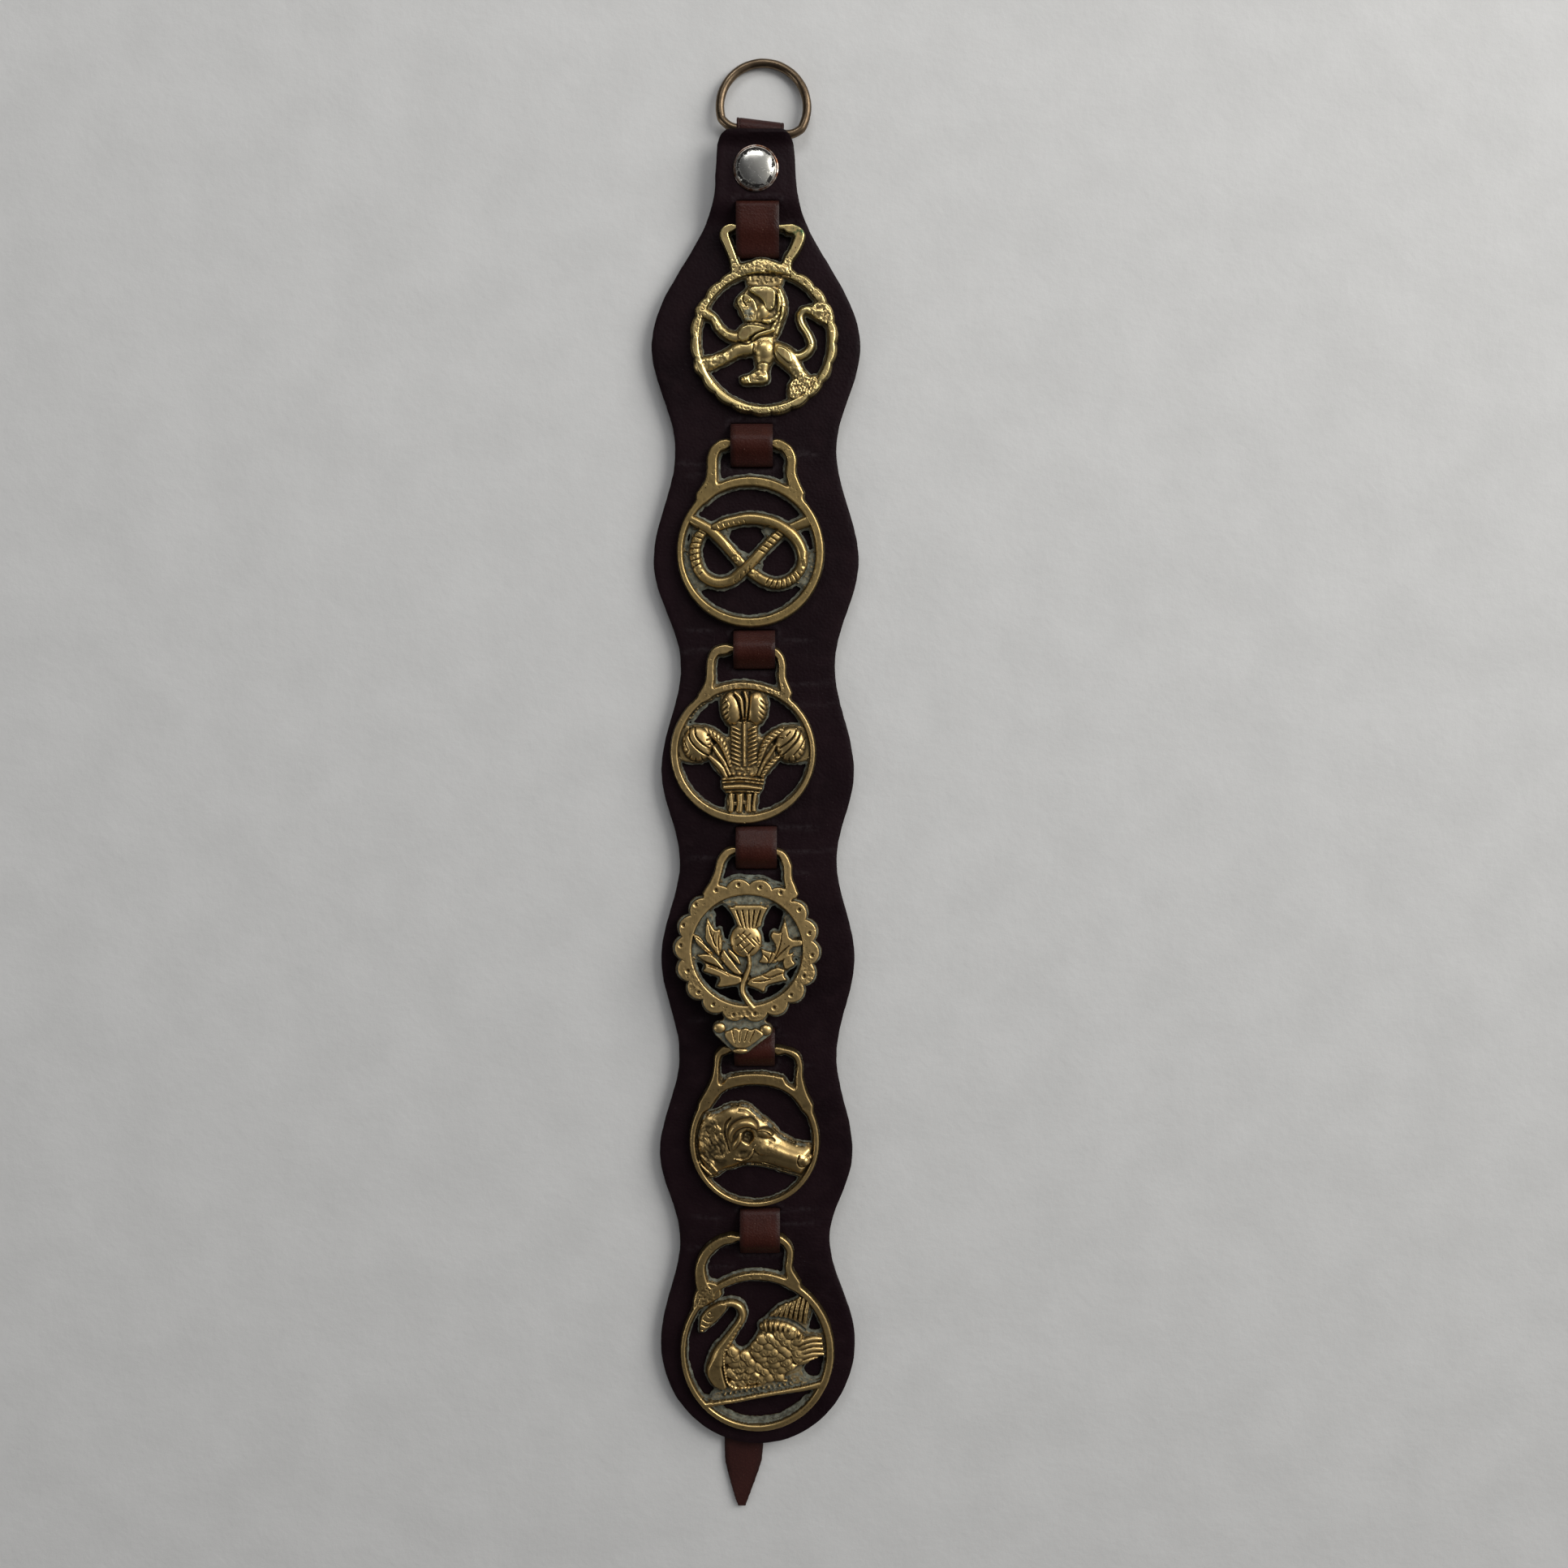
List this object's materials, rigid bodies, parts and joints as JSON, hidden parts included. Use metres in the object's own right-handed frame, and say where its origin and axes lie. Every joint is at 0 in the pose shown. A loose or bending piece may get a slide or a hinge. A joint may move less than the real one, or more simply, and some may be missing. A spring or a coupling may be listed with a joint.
{
  "type": "horse brass strap",
  "caption": "Scalloped leather strap with cast openwork horse brasses on a woven leather lace, a wire D-ring at the top and a pointed lace tail.",
  "frame": {"origin": "middle of the underside of the whole strap, on the surface it lies on", "axes": "+Y along the strap towards the D-ring, +X to the viewer's right seen from the front, +Z out of the front of the brasses"},
  "size_m": [0.075, 0.543, 0.0147],
  "materials": {
    "hide": "dark plum-brown strap leather, satin, creased, with black painted edges",
    "lace": "mahogany brown lace leather, satin, creased along both edges",
    "wire": "antique brass wire, dark bronze tone, smooth",
    "nickel": "worn nickel plate with black tarnish flecks near its rim",
    "brass": "cast brass, brushed on the high faces, pitted, with grey polish deposit and brown tarnish in the hollows"
  },
  "bodies": {
    "root": {"leather_backing": "hide", "lace": "lace", "d_ring": "wire", "stud": "nickel", "brass_lion": "brass", "brass_knot": "brass", "brass_feathers": "brass", "brass_thistle": "brass", "brass_hound": "brass", "brass_swan": "brass"}
  },
  "joints": []
}
